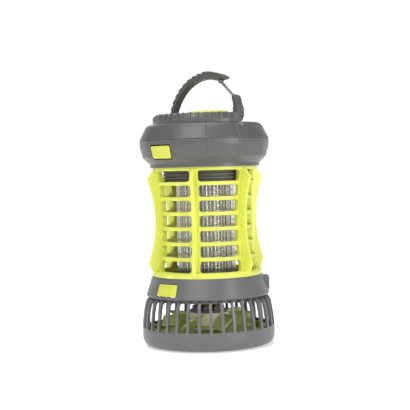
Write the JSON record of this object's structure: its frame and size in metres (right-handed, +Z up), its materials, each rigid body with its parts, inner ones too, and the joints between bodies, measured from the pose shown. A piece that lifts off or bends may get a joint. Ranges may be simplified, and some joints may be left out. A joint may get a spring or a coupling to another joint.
{
  "type": "electric bug zapper",
  "caption": "Hanging lantern bug zapper: waisted cage round an electrified grid and lamp tube, fan base with upright slots, panelled housing and a folding clip handle on top.",
  "frame": {"origin": "centre of the standing face under the fan base", "axes": "+Z up along the lantern; -Y is the front with both push buttons; the handle's axle lies along X"},
  "size_m": [0.126, 0.126, 0.26],
  "materials": {
    "grey_shell": "fine satin moulding texture",
    "grey_base": "fine satin moulding texture",
    "dark_handle": "grained matte moulding",
    "dark_inner": "matte",
    "lime_cage": "semi-gloss",
    "lime_button": "satin",
    "lime_tray": "satin",
    "lime_fan": "translucent satin",
    "cream_hub": "satin",
    "rubber": "matte",
    "steel": "brushed",
    "grid_metal": "drawn wire",
    "zinc_screw": "bright zinc",
    "copper": "enamelled wire",
    "bronze": "sintered",
    "magnet": "dark ferrite",
    "board": "solder-masked board",
    "lamp_glass": "frosted glass",
    "cell_wrap": "shrink wrap",
    "socket_metal": "bright"
  },
  "bodies": {
    "lantern": {"motor_bushes": "bronze", "motor_core": "magnet", "motor_coils": "copper", "motor_bracket": "dark_inner", "motor_board": "board", "bracket_screws": "zinc_screw", "collar": "grey_base", "fan_guard": "dark_inner", "fan_switch": "board", "cage_half_front": "lime_cage", "cage_half_back": "lime_cage", "cage_screws": "zinc_screw", "lower_insulator": "dark_inner", "grid_posts": "steel", "uv_tube": "lamp_glass", "led_core": "board", "neck": "dark_inner", "lamp_holder": "dark_inner", "housing_lower": "grey_shell", "housing_upper": "grey_shell", "housing_screws": "zinc_screw", "housing_seal": "rubber", "lamp_switch": "board", "battery_cells": "cell_wrap", "battery_holder": "dark_inner", "control_board": "board", "hv_transformer": "magnet", "charging_socket": "socket_metal", "charge_board": "board", "port_pin": "steel", "crown_ring": "grey_shell", "top_bridge": "grey_shell", "top_cap": "lime_button", "grid_outer": "grid_metal", "grid_inner": "grid_metal"},
    "base": {"base_shell": "grey_base", "base_floor": "grey_base", "rubber_feet": "rubber", "tray_screws": "zinc_screw", "bug_tray": "lime_tray"},
    "fan": {"fan_hub": "cream_hub", "fan_blades": "lime_fan", "rotor_magnet": "magnet", "fan_shaft": "steel"},
    "fan_key": {"fan_button": "lime_button"},
    "lamp_key": {"lamp_button": "lime_button"},
    "latch_right": {"latch_right": "grey_base"},
    "latch_left": {"latch_left": "grey_base"},
    "port_flap": {"port_cover": "rubber"},
    "handle": {"handle_arch": "dark_handle", "handle_post": "dark_handle", "handle_axle": "steel", "gate_pin": "steel"},
    "gate": {"handle_gate": "steel"}
  },
  "joints": [
    {"name": "handle_fold", "type": "hinge", "parent": "lantern", "child": "handle", "pos_m": [0, 0.002, 0.2148], "axis": [-1, 0, 0], "range_deg": [-7, 83]},
    {"name": "gate_swing", "type": "hinge", "parent": "handle", "child": "gate", "pos_m": [0.0395, 0.00394, 0.23064], "axis": [0, -0.9925, 0.1219], "range_deg": [0, 25], "stiffness_Nm_per_rad": 0.02, "springref_deg": -22.92},
    {"name": "lamp_press", "type": "slide", "parent": "lantern", "child": "lamp_key", "axis": [0, 1, 0], "range_m": [0, 0.001], "stiffness_N_per_m": 600, "springref_m": -0.0005},
    {"name": "fan_press", "type": "slide", "parent": "lantern", "child": "fan_key", "axis": [0, 1, 0], "range_m": [0, 0.001], "stiffness_N_per_m": 600, "springref_m": -0.0005},
    {"name": "latch_right_squeeze", "type": "slide", "parent": "lantern", "child": "latch_right", "axis": [-0.7071, -0.7071, 0], "range_m": [0, 0.002], "stiffness_N_per_m": 800, "springref_m": -0.0005},
    {"name": "latch_left_squeeze", "type": "slide", "parent": "lantern", "child": "latch_left", "axis": [0.7071, -0.7071, 0], "range_m": [0, 0.002], "stiffness_N_per_m": 800, "springref_m": -0.0005},
    {"name": "base_twist", "type": "hinge", "parent": "lantern", "child": "base", "pos_m": [0, 0, 0.0468], "axis": [0, 0, 1], "range_deg": [0, 20]},
    {"name": "fan_spin", "type": "hinge", "parent": "lantern", "child": "fan", "pos_m": [0, 0, 0.025], "axis": [0, 0, 1], "continuous": true},
    {"name": "port_flap_open", "type": "hinge", "parent": "lantern", "child": "port_flap", "pos_m": [0, 0.06235, 0.1796], "axis": [-1, 0, 0], "range_deg": [0, 110], "stiffness_Nm_per_rad": 0.002, "springref_deg": -11.46}
  ]
}
